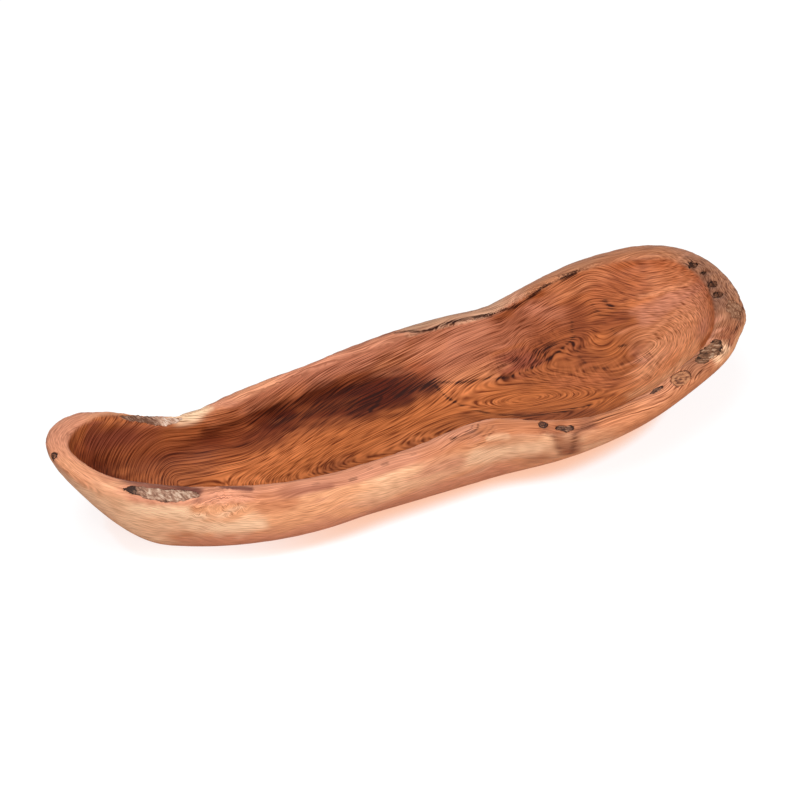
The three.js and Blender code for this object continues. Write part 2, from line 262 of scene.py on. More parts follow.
# the figure of the wood, in millimetres
figure = {
    # the root's heart line runs lengthwise above the floor, and growth rings lie round it like shells
    "heart": [(-208, 3, 84), (-60, 0, 104), (100, -4, 106), (330, 20, 140)],
    # the floor's middle line: the rings close round its two ends
    "floorLine": [(-186, 16, 17), (-60, 14, 13), (80, 5, 18), (212, 8, 31)],
    # swells that the cut opens into loops, and bends: place, turn, half length, half width, height, looped
    "swells": [((97, 2), -14, 72, 26, 30, 1), ((134, 48), 10, 42, 26, -15, 0),
               ((187, 34), 20, 40, 24, 9, 0)],
    # where the lines stray in waves: the reach is half the length, and squash times that half the width
    "swirl": {"place": (150.0, 36.0), "reach": 42.0, "squash": 0.6, "size": 44.0, "shift": 4.0},
    "burl": {"reach": (24, 16, 12), "size": 9, "shift": 3},
    # amount, reach, then points along the dark lines and bands of the hollow
    "dark": [
        (0.6, 5.5, [(-118, 42, 38), (-88, 47, 36), (-63, 50, 35), (-39, 52, 35), (0, 52, 33), (20, 52, 32)]),
        (0.5, 1.8, [(-160, 33, 44), (-145, 35, 42), (-130, 40, 39), (-113, 43, 38), (-88, 47, 37)]),
        (0.5, 5, [(-105, 42, 31), (-86, 44, 29), (-65, 45, 27), (-45, 46, 26), (-25, 46, 25), (13, 45, 25),
                  (32, 43, 26)]),
        (0.8, 7, [(-38, 41, 22), (-19, 46, 25), (4, 52, 31)]),
        (1.3, 2.2, [(-24, 38, 20), (-18, 41, 21), (-11, 45, 24)]),
        (0.9, 3.5, [(0, 44, 24), (15, 44, 25), (34, 44, 26)]),
        (0.8, 2.0, [(33, 43, 26), (38, 28, 20), (47, 13, 18), (61, -2, 17), (84, -17, 18), (104, -24, 20),
                    (133, -30, 23)]),
        (0.75, 1.8, [(34, 44, 26), (55, 36, 25), (78, 32, 25), (90, 30, 23), (103, 31, 23), (117, 34, 23),
                     (138, 39, 25), (157, 47, 29), (164, 51, 31)]),
        (0.45, 7, [(93, 40, 28), (105, 43, 28), (118, 43, 26)]),
        (0.7, 6, [(129, 46, 27), (142, 50, 29)]),
        (0.55, 2.2, [(167, 63, 37), (160, 48, 30), (156, 30, 25), (158, 15, 23), (176, 4, 24), (196, 1, 29),
                     (205, 3, 31)]),
        (0.45, 2.4, [(189, 71, 44), (191, 61, 39), (193, 48, 34), (194, 39, 32)]),
        (0.7, 3.2, [(201, 68, 44), (203, 63, 42)]),
        (0.8, 2.0, [(190, 24, 29), (194, 23, 30)]),
        (0.4, 1.0, [(-158, 20, 17), (-125, 22, 16), (-69, 36, 20)]),
        (0.5, 1.2, [(132, -15, 20), (114, -16, 19), (91, -9, 19)]),
    ],
    # the same on the rim and outside: the band below the rim knot, its streak, small knots along the front,
    # dark spots along the scoop's end, and the line and spots under the rear strip of bark
    "marks": [
        (0.45, 3.6, [(67, -89, 53), (69, -92, 46), (76, -86, 29)]),
        (0.55, 3.6, [(82, -93, 54), (81, -95, 44), (84, -87, 30)]),
        (0.6, 2.5, [(84, -93, 54), (95, -93, 57), (109, -91, 58), (122, -89, 59)]),
        (0.55, 2.2, [(-115, -69, 51), (-111, -69, 51)]), (0.7, 2.2, [(-88, -74, 51), (-84, -74, 51)]),
        (0.5, 2.0, [(-73, -70, 53), (-70, -70, 53)]), (0.7, 2.0, [(-62, -71, 54), (-58, -71, 54)]),
        (0.55, 2.0, [(-39, -71, 55), (-36, -71, 55)]),
        (0.9, 4.5, [(266, 47, 75)]), (0.8, 3, [(266, 31, 75)]),
        (0.9, 4.5, [(264, 14, 75)]), (0.9, 5, [(260, -4, 75)]),
        (0.5, 2, [(256, -44, 64), (262, -52, 62)]),
        (1.0, 1.7, [(10, 65, 66), (19, 64, 66), (29, 61, 65), (40, 61, 64), (54, 62, 66), (65, 61, 66),
                    (87, 60, 65), (99, 61, 65), (110, 64, 63), (118, 67, 63), (126, 69, 63), (135, 72, 65),
                    (145, 76, 67), (155, 79, 67)]),
        (0.85, 1.5, [(155, 79, 67), (165, 81, 67), (176, 83, 68), (192, 84, 68)]),
        (1.0, 3.0, [(76, 60, 65), (91, 60, 65)]), (0.9, 2.6, [(115, 66, 63), (122, 68, 63)]),
        (1.0, 3.2, [(165, 82, 67), (180, 83, 68)]), (0.5, 2.6, [(36, 61, 64), (50, 61, 64)]),
        (0.6, 2, [(89, -91, 56), (104, -91, 57), (112, -91, 58)]),
    ],
    # creases on the hump of the front rim: carved, with painted shade in the grooves
    "folds": [
        (0.6, 1.2, [(14, -62, 61), (12, -65, 60), (6, -67, 59)]),
        (0.7, 1.2, [(18, -63, 61), (16, -67, 60), (12, -68, 59), (7, -68, 59), (-1, -68, 58),
                    (-5, -68, 58)]),
        (0.55, 1.2, [(23, -68, 61), (20, -70, 60), (15, -71, 58), (9, -72, 57), (2, -71, 57),
                     (-4, -70, 57), (-17, -73, 54)]),
        (0.5, 1.2, [(27, -70, 60), (22, -72, 59), (16, -74, 56), (9, -74, 55), (3, -75, 54)]),
        (0.55, 1.2, [(27, -73, 59), (22, -74, 57), (19, -75, 55)]),
        (1.0, 1.8, [(-6, -68, 58), (-3, -68, 58)]),
        (0.5, 1.5, [(17, -76, 53), (11, -76, 52)]),
    ],
    # where the growth rings show strongly
    "rings": [
        (1.0, 26, [(-256, 15, 50), (-206, 10, 18), (-160, 22, 18)]),
        (0.55, 12, [(-161, 33, 42), (-61, 48, 42), (19, 50, 40)]),
        (0.5, 24, [(74, 5, 18), (130, -8, 19)]),
        (0.3, 26, [(139, 50, 30), (189, 35, 31)]),
    ],
    # curly grain, short waves across the fibres
    "curl": [
        (1.0, 13, [(112, 24, 21), (165, 5, 23)]),
        (0.8, 12, [(89, 42, 30), (149, 55, 32)]),
        (1.0, 10, [(176, 4, 24), (205, 3, 31), (222, 10, 36)]),
        (0.9, 9, [(184, -22, 30), (204, -12, 32)]),
    ],
    # rim with rough, strongly lined wood under the lost bark
    "rough": [
        (1.0, 16, [(110, -92, 59), (160, -85, 60), (224, -62, 63), (262, -28, 70), (272, 10, 76),
                   (260, 50, 77)]),
        (0.8, 14, [(250, 74, 75), (200, 84, 70), (120, 68, 66), (20, 62, 65), (-60, 60, 63),
                   (-150, 42, 58)]),
    ],
}

# lines of the relief
crestLine = [(8, -76, 55), (30, -77, 55), (51, -84, 55), (73, -90, 54)]
liveEdgeLine = [(13, 58, 65), (46, 56, 63), (81, 56, 62), (100, 60, 64), (121, 66, 65), (143, 71, 64),
                (174, 78, 65), (203, 81, 69)]


def closedCopy(name, mergeGap=1e-6):
    # a CAD node's mesh is loose triangles, so its copy is merged first
    bm = bmesh.new()
    bm.from_mesh(nodes[name].data)
    bmesh.ops.remove_doubles(bm, verts=bm.verts, dist=mergeGap)
    mesh = bpy.data.meshes.new(name + "Copy")
    bm.to_mesh(mesh)
    bm.free()
    return mesh


def points(mesh, kind="co"):
    flat = np.empty(len(mesh.vertices) * 3)
    mesh.vertices.foreach_get(kind, flat)
    return flat.reshape(-1, 3)


def setPoints(mesh, co):
    mesh.vertices.foreach_set("co", np.ascontiguousarray(co).ravel())
    mesh.update()


def bakeModifiers(obj):
    graph = bpy.context.evaluated_depsgraph_get()
    mesh = bpy.data.meshes.new_from_object(obj.evaluated_get(graph))
    obj.modifiers.clear()
    obj.data = mesh


def relax(mesh, rounds, stepIn=0.6, stepOut=-0.63):
    # smooths facets and keeps the volume: each step in is followed by a step out
    co = points(mesh)
    ends = np.empty(len(mesh.edges) * 2, dtype=np.int64)
    mesh.edges.foreach_get("vertices", ends)
    ends = ends.reshape(-1, 2)
    here = np.concatenate([ends[:, 0], ends[:, 1]])
    there = np.concatenate([ends[:, 1], ends[:, 0]])
    count = np.bincount(here, minlength=len(co))[:, None]
    for step in range(rounds * 2):
        mean = np.stack([np.bincount(here, co[there, k], len(co)) for k in range(3)], 1) / count
        co += (stepIn if step % 2 == 0 else stepOut) * (mean - co)
    setPoints(mesh, co)


def voxelSurface(obj, size, rounds):
    remesh = obj.modifiers.new("fineGrid", "REMESH")
    remesh.mode = "VOXEL"
    remesh.voxel_size = size
    bakeModifiers(obj)
    relax(obj.data, rounds)


def span(value, low, high):
    # 0 below low, 1 above high, eased between
    share = np.clip((value - low) / (high - low), 0.0, 1.0)
    return share * share * (3.0 - 2.0 * share)


def along(co, path):
    # distance in mm from each point to a path of straight runs
    path = np.array(path, dtype=float).reshape(-1, 3)
    best = np.linalg.norm(co - path[0], axis=1)
    for start, end in zip(path[:-1], path[1:]):
        run = end - start
        share = np.clip((co - start) @ run / (run @ run), 0.0, 1.0)
        best = np.minimum(best, np.linalg.norm(co - start - share[:, None] * run, axis=1))
    return best


def paint(co, strokes):
    # strongest stroke at each point, 0 to 1
    total = np.zeros(len(co))
    for amount, reach, path in strokes:
        total = np.maximum(total, amount * np.exp(-(along(co, path) / reach) ** 2))
    return total


def waves(co, size, seed, count=28, slowest=0.6, fastest=1.5):
    # smooth random hills of about that size in mm, with a spread of 1
    rng = np.random.default_rng(seed)
    runs = rng.normal(size=(count, 3))
    speeds = (2 * math.pi / size) * rng.uniform(slowest, fastest, (count, 1))
    runs *= speeds / np.linalg.norm(runs, axis=1)[:, None]
    return np.cos(co @ runs.T + rng.uniform(0, 2 * math.pi, count)).sum(1) / math.sqrt(count / 2)


def rimLines(co):
    # inner and outer shoulder of the rim, step by step round the plan
    flatY = co[:, 1] / rimSearch["squash"]
    turns = np.degrees(np.arctan2(flatY, co[:, 0])) % 360
    radius = np.hypot(co[:, 0], flatY)
    lines = []
    for middle in np.arange(0, 360, rimSearch["step"]):
        inside = np.abs((turns - middle + 180) % 360 - 180) < rimSearch["window"]
        local, far = co[inside], radius[inside]
        top = local[:, 2] > local[:, 2].max() - rimSearch["crown"]
        lines.append([local[top][far[top].argmin()], local[top][far[top].argmax()]])
    lines = np.array(lines)
    for _ in range(rimSearch["rounds"]):
        lines = (np.roll(lines, 1, 0) + 2 * lines + np.roll(lines, -1, 0)) / 4
    return lines.transpose(1, 0, 2)


def edgeDistance(co, line, splits=4, batch=8000):
    # distance in plan to a closed line, positive towards the middle of the bowl, the nearest place on it,
    # and the way inwards there
    onwards = np.roll(line, -1, 0) - line
    dense = np.stack([line + onwards * k / splits for k in range(splits)], 1).reshape(-1, 3)
    near = np.empty(len(co), dtype=int)
    gap = np.empty(len(co))
    for first in range(0, len(co), batch):
        block = co[first:first + batch, None, :2] - dense[None, :, :2]
        square = (block ** 2).sum(2)
        near[first:first + batch] = square.argmin(1)
        gap[first:first + batch] = np.sqrt(square.min(1))
    run = np.roll(dense, -2, 0) - np.roll(dense, 2, 0)
    inwards = np.stack([-run[:, 1], run[:, 0]], 1) / np.hypot(run[:, 0], run[:, 1])[:, None]
    pull = ((co[:, :2] - dense[near, :2]) * inwards[near]).sum(1)
    return np.where(pull > 0, gap, -gap), dense[near], inwards[near]


def zones(co, normals, lines):
    # shares of hollow, outside and rim at each point
    inward, innerPlace, wayIn = edgeDistance(co, lines[0])
    outward, outerPlace, _ = edgeDistance(co, lines[1])
    lean = rimSearch["inwardTurn"]
    facingIn = span((normals[:, :2] * wayIn).sum(1) + normals[:, 2], -lean, lean)
    down = np.clip(innerPlace[:, 2] - co[:, 2], 0, None)
    fall = np.clip(outerPlace[:, 2] - co[:, 2], 0, None)
    hollow = span(inward + down, 0.0, rimSearch["hollowRun"]) * facingIn
    past = span(fall - outward, 0.0, rimSearch["outsideRun"])
    outside = np.maximum(past, span(fall, *rimSearch["outsideFall"])) * (1 - facingIn)
    return {"inward": inward, "outward": outward, "down": down, "hollow": hollow, "outside": outside,
            "rim": (1 - hollow) * (1 - outside)}


def relief(co, zone):
    # how far the live edge stands out of the carved form, in mm along the normal
    edge = np.clip(zone["rim"] + carving["outerEdge"] * zone["outside"], 0, 1)
    height = carving["rimSway"] * edge * waves(co, carving["swaySize"], seed=21)
    height += carving["rimGrain"] * edge * waves(co, carving["grainSize"], seed=22)
    height -= carving["foldDepth"] * paint(co, figure["folds"])
    height += carving["crestRise"] * np.exp(-(along(co, crestLine) / carving["crestReach"]) ** 2)
    burl = np.exp(-(((co - carving["burlPlace"]) / carving["burlReach"]) ** 2).sum(1)) * (1 - zone["hollow"])
    curls = np.abs(waves(co, carving["burlSize"], seed=23))
    height += burl * (carving["burlRise"] + carving["burlDepth"] * curls)
    strip = np.exp(-(along(co, liveEdgeLine) / carving["stripReach"]) ** 2) * (1 - zone["hollow"])
    height += strip * carving["stripLumps"] * waves(co, carving["lumpSize"], seed=24)
    grooveLine = np.array(liveEdgeLine) - carving["grooveShift"]
    height -= carving["grooveDepth"] * np.exp(-(along(co, grooveLine) / carving["grooveReach"]) ** 2)
    return height


def setField(obj, name, values):
    field = obj.data.attributes.new(name, "FLOAT_VECTOR" if values.ndim == 2 else "FLOAT", "POINT")
    flatValues = np.ascontiguousarray(values, dtype=np.float32).ravel()
    field.data.foreach_set("vector" if values.ndim == 2 else "value", flatValues)


bowl = bpy.data.objects.new("carvedBowl", closedCopy("bowl_body"))
scene.collection.objects.link(bowl)
inclusionNames = sorted(name for name in nodes if name != "bowl_body")
bm = bmesh.new()
bm.from_mesh(bowl.data)
for name in inclusionNames:
    bm.from_mesh(closedCopy(name))
bm.to_mesh(bowl.data)
bm.free()
voxelSurface(bowl, carving["voxel"], carving["easing"])
bm = bmesh.new()
bm.from_mesh(bowl.data)
co = points(bowl.data) * 1000
close = np.zeros(len(co), dtype=bool)
fineLine, besideLine = 3, 5      # mm, a dark line that is finer than this gets a finer mesh to each side
for reach, path in fineSpots + [(besideLine, path) for _, reach, path in figure["dark"] if reach < fineLine]:
    close |= along(co, path) < reach
bmesh.ops.subdivide_edges(bm, edges=[e for e in bm.edges if all(close[v.index] for v in e.verts)], cuts=1,
                          use_grid_fill=True)
bm.to_mesh(bowl.data)
bm.free()
print("fine surface:", len(bowl.data.vertices), "points,", len(bowl.data.polygons), "faces")

co = points(bowl.data) * 1000
normals = points(bowl.data, "normal")
lines = rimLines(co)
height = relief(co, zones(co, normals, lines))
moved = (co + normals * height[:, None]) / 1000
setPoints(bowl.data, np.clip(moved, np.array(cadLow), np.array(cadHigh)))
print("live edge shaped")


# what the root grew round: knots, bark and filler, each in its own pocket

pockets = {
    "voxel": 0.0008,         # metres
    "easing": 3,             # rounds of smoothing
    # in mm
    "swell": 0.3,            # closes the working gap to the wood
    "standOut": 4.0,         # of the cutter, out of the wood
    "clearance": 0.1,        # left round the finished piece
    "outlineSize": 1.6,      # bumps of the outline against the lumps of the face
    "faceTurn": (0.2, 0.8),  # how squarely the surface faces out where the face starts, and where it's full
}

# roughness of the outline and of the face, size of the lumps, and how deep the face lies, all in mm
inclusionForms = {
    "prow_knot": (0.15, 0.15, 2.0, 0.4), "rim_knot": (0.1, 0.15, 2.0, 0.4), "eye_knot": (0.7, 0.2, 4.0, 0.1),
    "crack_filler": (0.4, 0.2, 3.0, 0.3), "slit_inclusion": (0.25, 0.2, 2.5, 0.4),
    "front_bark_pocket": (0.3, 0.3, 4.0, 0.2), "notch_bark": (0.3, 0.3, 4.0, 0.1),
    "front_bark_patch": (0.6, 0.4, 3.0, 0.3), "end_bark_patch": (0.6, 0.4, 3.0, 0.1),
    "end_bark_crater_1": (0.35, 0.5, 2.6, 1.5), "end_bark_crater_2": (0.3, 0.4, 2.6, 1.3),
    "end_bark_crater_3": (0.35, 0.5, 2.6, 1.7), "end_bark_crater_4": (0.35, 0.5, 2.6, 1.7),
}
slotNodes = {
    "knot": ["prow_knot", "rim_knot"], "healed_knot": ["eye_knot"], "weathered_bark": ["front_bark_pocket"],
    "pale_bark": ["notch_bark"], "dark_bark": ["front_bark_patch"], "fibrous_bark": ["end_bark_patch"],
    "crater_bark": ["end_bark_crater_1", "end_bark_crater_2", "end_bark_crater_3", "end_bark_crater_4"],
    "crack_filler": ["crack_filler", "slit_inclusion"],
}
skin = points(bowl.data) * 1000
skinNormals = points(bowl.data, "normal")
skinTree = KDTree(len(skin))
for k, spot in enumerate(skin):
    skinTree.insert(spot, k)
skinTree.balance()
fillings = {}
bm = bmesh.new()
for number, name in enumerate(inclusionNames):
    piece = bpy.data.objects.new(name + "Fill", closedCopy(name))
    scene.collection.objects.link(piece)
    voxelSurface(piece, pockets["voxel"], pockets["easing"])
    ragged, lumpy, size, sunk = inclusionForms[name]
    spots = points(piece.data) * 1000
    lean = points(piece.data, "normal")
    near = np.array([skinTree.find(spot)[1] for spot in spots])
    out = skinNormals[near]
    up = out.mean(0) / np.linalg.norm(out.mean(0))
    face = span((lean * out).sum(1), *pockets["faceTurn"])
    # the face follows the wood around it, the outline stays ragged
    proud = ((spots - skin[near]) * out).sum(1)
    bumps = waves(spots, size * pockets["outlineSize"], seed=40 + number)
    swell = pockets["swell"] + (1 - face) * ragged * bumps
    level = -sunk + lumpy * waves(spots, size, seed=60 + number) - proud
    shaped = spots + lean * (swell * (1 - face))[:, None] + out * (level * face)[:, None]
    setPoints(piece.data, (shaped + out * (face * (pockets["standOut"] - level - proud))[:, None]) / 1000)
    bm.from_mesh(piece.data)
    setPoints(piece.data, (shaped - lean * (pockets["clearance"] * (1 - face))[:, None]) / 1000)
    # place along, across and into the piece in mm, and how far out from its middle
    middle = (spots.min(0) + spots.max(0)) / 2
    flatSpots = spots - middle - ((spots - middle) @ up)[:, None] * up
    fewSpots = flatSpots[::7]
    lengthways = np.linalg.svd(fewSpots, full_matrices=False)[2][0]
    lengthways *= np.sign(lengthways[0])
    sideways = np.cross(up, lengthways)
    piecePlace = np.stack([(spots - middle) @ axis for axis in (lengthways, sideways, up)], 1)
    halves = np.abs(piecePlace[:, :2]).max(0)
    setField(piece, "piecePlace", piecePlace)
    setField(piece, "outwards", np.hypot(*(piecePlace[:, :2] / halves).T))
    setField(piece, "endwise", piecePlace[:, 0] / halves[0])
    fillings[name] = piece

cutterMesh = bpy.data.meshes.new("pocketCutter")
bm.to_mesh(cutterMesh)
bm.free()
cutter = bpy.data.objects.new("pocketCutter", cutterMesh)
scene.collection.objects.link(cutter)
cut = bowl.modifiers.new("pockets", "BOOLEAN")
cut.operation = "DIFFERENCE"
cut.solver = "MANIFOLD"
cut.object = cutter
before = len(bowl.data.vertices)
bakeModifiers(bowl)
bpy.data.objects.remove(cutter)
print("pockets cut:", before, "points became", len(bowl.data.vertices))
for piece in [bowl, *fillings.values()]:
    piece.data.shade_smooth()


# the figure of the wood: fields on the fine surface, in millimetres, that its color follows

palette = {
    "umber": "#4A1405", "maroon": "#5A2010", "mahogany": "#7F3E22", "rosewood": "#81402F",
    "chestnut": "#8E4A2A", "rust": "#9A4E2E", "russet": "#A55B32", "sienna": "#B0623A",
    "amber": "#BD6A38", "copper": "#C57B51", "mauve": "#AC6749", "rose": "#C98263", "blush": "#D38D6C",
    "honey": "#D9804B", "apricot": "#E09366", "peach": "#E6A274", "cream": "#F2C096", "ivory": "#FFD6AC",
    "tan": "#AA7250", "plum": "#6B3A30", "bark": "#7A5240",
}

# color, strength, reach in mm, and points along each stroke laid on the wood
hollowTints = [
    # floor of the trough
    ("russet", 0.8, 10, [(-196, 23, 19), (-169, 23, 18)]),
    ("amber", 0.9, 12, [(-152, 15, 15), (-123, 14, 14), (-92, 14, 13), (-56, 13, 13)]),
    ("amber", 1.0, 10, [(-50, 17, 14), (-8, 18, 15), (26, 18, 17)]),
    ("amber", 1.0, 6, [(-43, -5, 12), (-20, -3, 13)]),
    ("honey", 0.7, 5, [(-151, 18, 16), (-121, 19, 15), (-90, 20, 14)]),
    ("honey", 0.8, 6, [(-151, 8, 13), (-130, 4, 13)]),
    ("honey", 0.8, 5, [(-30, -2, 13), (-8, 2, 14)]),
    ("amber", 0.8, 4, [(-79, 46, 31), (-54, 47, 28), (-37, 46, 26)]),
    ("russet", 0.8, 5, [(-82, 39, 23), (-50, 37, 19), (-37, 28, 16)]),
    ("chestnut", 0.3, 6, [(-78, -4, 12), (-43, -5, 12), (-12, -3, 13)]),
    # where the floor meets the rear wall: darker wood, and painted shade in the join
    ("mahogany", 1.1, 7, [(-204, 32, 34), (-166, 32, 30), (-141, 32, 25), (-106, 33, 20)]),
    ("maroon", 1.0, 5, [(-170, 33, 36), (-157, 33, 34), (-141, 33, 29), (-125, 35, 27), (-106, 37, 25)]),
    ("maroon", 1.0, 5, [(-88, 41, 25), (-79, 40, 24), (-60, 42, 24), (-45, 40, 21), (-27, 35, 18)]),
    # its rear wall, with the dark band at its foot: darker wood, and painted shade where the wall is
    # undercut
    ("umber", 0.8, 3, [(-160, 33, 43), (-145, 35, 42), (-130, 40, 39), (-113, 43, 38)]),
    ("umber", 1.8, 5, [(-118, 42, 38), (-100, 45, 37), (-88, 47, 36), (-63, 50, 35), (-35, 52, 34),
                       (-1, 51, 32)]),
    ("umber", 3.0, 6, [(-105, 42, 31), (-86, 44, 30), (-65, 46, 28), (-45, 46, 26), (-25, 46, 25),
                       (8, 45, 25)]),
    ("umber", 2.6, 8, [(-60, 48, 31), (-26, 47, 27), (3, 50, 29)]),
    ("maroon", 0.8, 6, [(1, 46, 25), (30, 44, 26)]),
    ("umber", 1.4, 5, [(-13, 43, 23), (-4, 40, 21), (5, 39, 21)]),
    ("sienna", 0.8, 5, [(-151, 35, 51), (-76, 51, 48)]),
    ("chestnut", 0.7, 4, [(-143, 35, 37), (-78, 49, 37), (-25, 54, 39), (10, 57, 41)]),
    ("rose", 0.9, 5, [(-120, 43, 50), (-59, 53, 54), (-15, 58, 54), (13, 59, 50), (37, 60, 50)]),
    ("rose", 1.0, 5, [(-128, 41, 57), (-109, 46, 56), (-85, 50, 57), (-59, 53, 56)]),
    ("rose", 0.8, 6, [(-50, 54, 59), (12, 60, 61)]),
    ("copper", 0.8, 5, [(-150, 35, 52), (-120, 43, 50), (-80, 50, 48)]),
    ("blush", 0.8, 7, [(34, 61, 58), (81, 59, 57)]),
    ("rose", 1.8, 6, [(28, 59, 49), (41, 59, 50), (55, 59, 52)]),
    ("copper", 1.6, 6, [(-2, 58, 47), (13, 59, 47), (29, 59, 49), (46, 59, 50)]),
    ("mauve", 0.9, 9, [(45, 58, 45), (99, 58, 49)]),
    ("mauve", 0.7, 8, [(42, 50, 32), (76, 49, 37)]),
    ("copper", 0.9, 5, [(47, 43, 27), (80, 38, 28)]),
    ("rust", 0.8, 6, [(9, 55, 36), (35, 55, 38)]),
    # the prow's inner end
    ("rust", 0.6, 4, [(-256, 26, 61), (-250, 28, 52)]),
    ("maroon", 1.1, 6, [(-248, 26, 47), (-242, 26, 38), (-236, 22, 30)]),
    ("rosewood", 0.9, 6, [(-244, 31, 60), (-222, 33, 57), (-200, 35, 52)]),
    ("russet", 0.9, 8, [(-201, 35, 50), (-171, 34, 43)]),
    ("mahogany", 0.8, 8, [(-243, 27, 38), (-240, -30, 68)]),
    # floor of the scoop
    ("amber", 1.0, 9, [(61, 18, 20), (88, 2, 18), (117, -10, 19), (136, -17, 20)]),
    ("amber", 1.0, 6, [(138, -36, 25), (166, -34, 28)]),
    ("honey", 0.8, 5, [(43, 34, 23), (63, 21, 20)]),
    ("chestnut", 1.2, 4, [(80, -14, 18), (96, -25, 19), (110, -33, 21), (127, -39, 24)]),
    ("sienna", 0.8, 5, [(128, 9, 20), (158, -1, 21), (170, -20, 25)]),
    ("rosewood", 0.8, 6, [(93, 40, 28), (117, 41, 26)]),
    # purple and brown patches beside the swirls
    ("mahogany", 0.8, 5, [(129, 46, 27), (142, 50, 29)]),
    ("amber", 0.3, 4, [(148, 52, 30), (159, 54, 32)]),
    ("mauve", 0.8, 7, [(98, 57, 46), (139, 66, 42)]),
    ("rose", 0.7, 5, [(131, 69, 55), (159, 68, 41)]),
    ("mahogany", 0.8, 7, [(173, 68, 41), (170, 54, 33)]),
    ("chestnut", 0.8, 6, [(159, 42, 28), (160, 26, 25)]),
    ("russet", 0.8, 8, [(171, 31, 27), (196, 35, 32)]),
    ("amber", 0.8, 6, [(180, 38, 29), (185, 23, 28)]),
    ("honey", 0.3, 6, [(217, 64, 45), (231, 51, 46)]),
    ("mahogany", 0.9, 5, [(187, 52, 34), (197, 50, 35), (206, 49, 37)]),
    ("chestnut", 1.0, 5, [(212, 73, 52), (220, 70, 50), (228, 60, 47)]),
    ("chestnut", 1.0, 5, [(134, 55, 35), (140, 57, 36)]),
    ("copper", 0.8, 5, [(259, 44, 65), (263, 36, 73)]),
    ("apricot", 0.9, 5, [(220, -8, 38), (229, -8, 43), (237, -6, 48)]),
    ("rose", 0.7, 5, [(256, 14, 61), (248, -8, 59), (237, -18, 52)]),
    ("sienna", 0.8, 8, [(200, 76, 51), (232, 67, 52)]),
    ("rosewood", 0.4, 5, [(200, 12, 30), (208, 8, 33)]),
    ("rose", 0.9, 8, [(228, 43, 43), (249, 32, 53), (260, 21, 66)]),
    ("apricot", 0.8, 8, [(239, 15, 46), (251, 6, 58)]),
    ("apricot", 0.8, 7, [(215, -4, 35), (225, -10, 41)]),
    ("chestnut", 1.0, 6, [(136, 64, 41), (155, 65, 38), (168, 64, 37)]),
    ("copper", 0.9, 6, [(156, 78, 59), (184, 82, 57), (203, 83, 63)]),
    ("russet", 0.9, 6, [(212, 72, 50), (227, 70, 53)]),
    ("copper", 0.9, 6, [(244, 63, 57), (256, 54, 65)]),
    ("copper", 1.0, 7, [(207, 21, 33), (224, 22, 39), (242, 25, 48)]),
    ("rose", 0.9, 6, [(224, 36, 40), (240, 36, 48), (253, 30, 57)]),
    ("honey", 1.2, 7, [(169, -26, 26), (182, -29, 30), (199, -23, 33), (216, -19, 39)]),
    ("apricot", 1.1, 6, [(193, -25, 32), (207, -22, 35), (221, -15, 40)]),
    ("peach", 1.3, 5, [(165, -38, 30), (180, -38, 34), (198, -36, 38)]),
    ("apricot", 1.6, 6, [(181, -27, 29), (194, -16, 30), (206, -8, 32), (214, 5, 34)]),
    ("peach", 0.8, 4, [(190, -20, 30), (206, -8, 32), (212, 8, 34)]),
    ("chestnut", 1.0, 6, [(159, 64, 37), (154, 55, 32), (161, 47, 29)]),
    ("chestnut", 0.9, 5, [(221, 71, 52), (209, 73, 50)]),
    ("mahogany", 0.8, 4, [(78, -20, 18), (93, -24, 19)]),
    ("peach", 1.3, 5, [(206, -36, 40), (218, -28, 42), (230, -20, 46)]),
    # pale rays
    ("apricot", 1.4, 1.5, [(212, 22, 34), (226, 24, 40), (245, 25, 50), (260, 17, 67)]),
    ("apricot", 1.4, 1.5, [(228, 59, 47), (246, 50, 53), (260, 36, 65)]),
    # the scoop's end
    ("blush", 0.8, 5, [(200, -3, 30), (212, -9, 35)]),
    ("honey", 0.8, 7, [(228, -18, 45), (212, -23, 38)]),
    ("sienna", 0.8, 8, [(249, 65, 63), (262, 40, 69)]),
    ("copper", 0.8, 8, [(256, 14, 61), (252, -10, 67)]),
    ("honey", 0.8, 5, [(238, -34, 71), (218, -52, 68)]),
]
edgeTints = [
    # dark purple bevel inside the front rim at the prow: heartwood, and painted shade on the inward face
    ("plum", 3.0, 2.8, [(-237, -30, 68), (-225, -39, 64), (-208, -44, 60), (-196, -49, 58)]),
    ("plum", 1.6, 1.2, [(-176, -51, 57), (-168, -55, 56), (-158, -59, 55)]),
    ("ivory", 1.6, 3.2, [(-177, 42, 55), (-168, 39, 56), (-158, 42, 57)]),
    # painted highlight along the crest of the pinched front rim
    ("cream", 1.4, 1.5, [(20, -76, 55), (28, -76, 55), (34, -78, 55)]),
    ("copper", 0.9, 5, [(-26, -74, 54), (-10, -75, 54), (2, -75, 54)]),
    ("cream", 0.9, 5, [(-260, -34, 68), (-253, -38, 62), (-246, -41, 55)]),
    ("copper", 0.9, 5, [(-150, -68, 46), (-136, -70, 46)]),
]
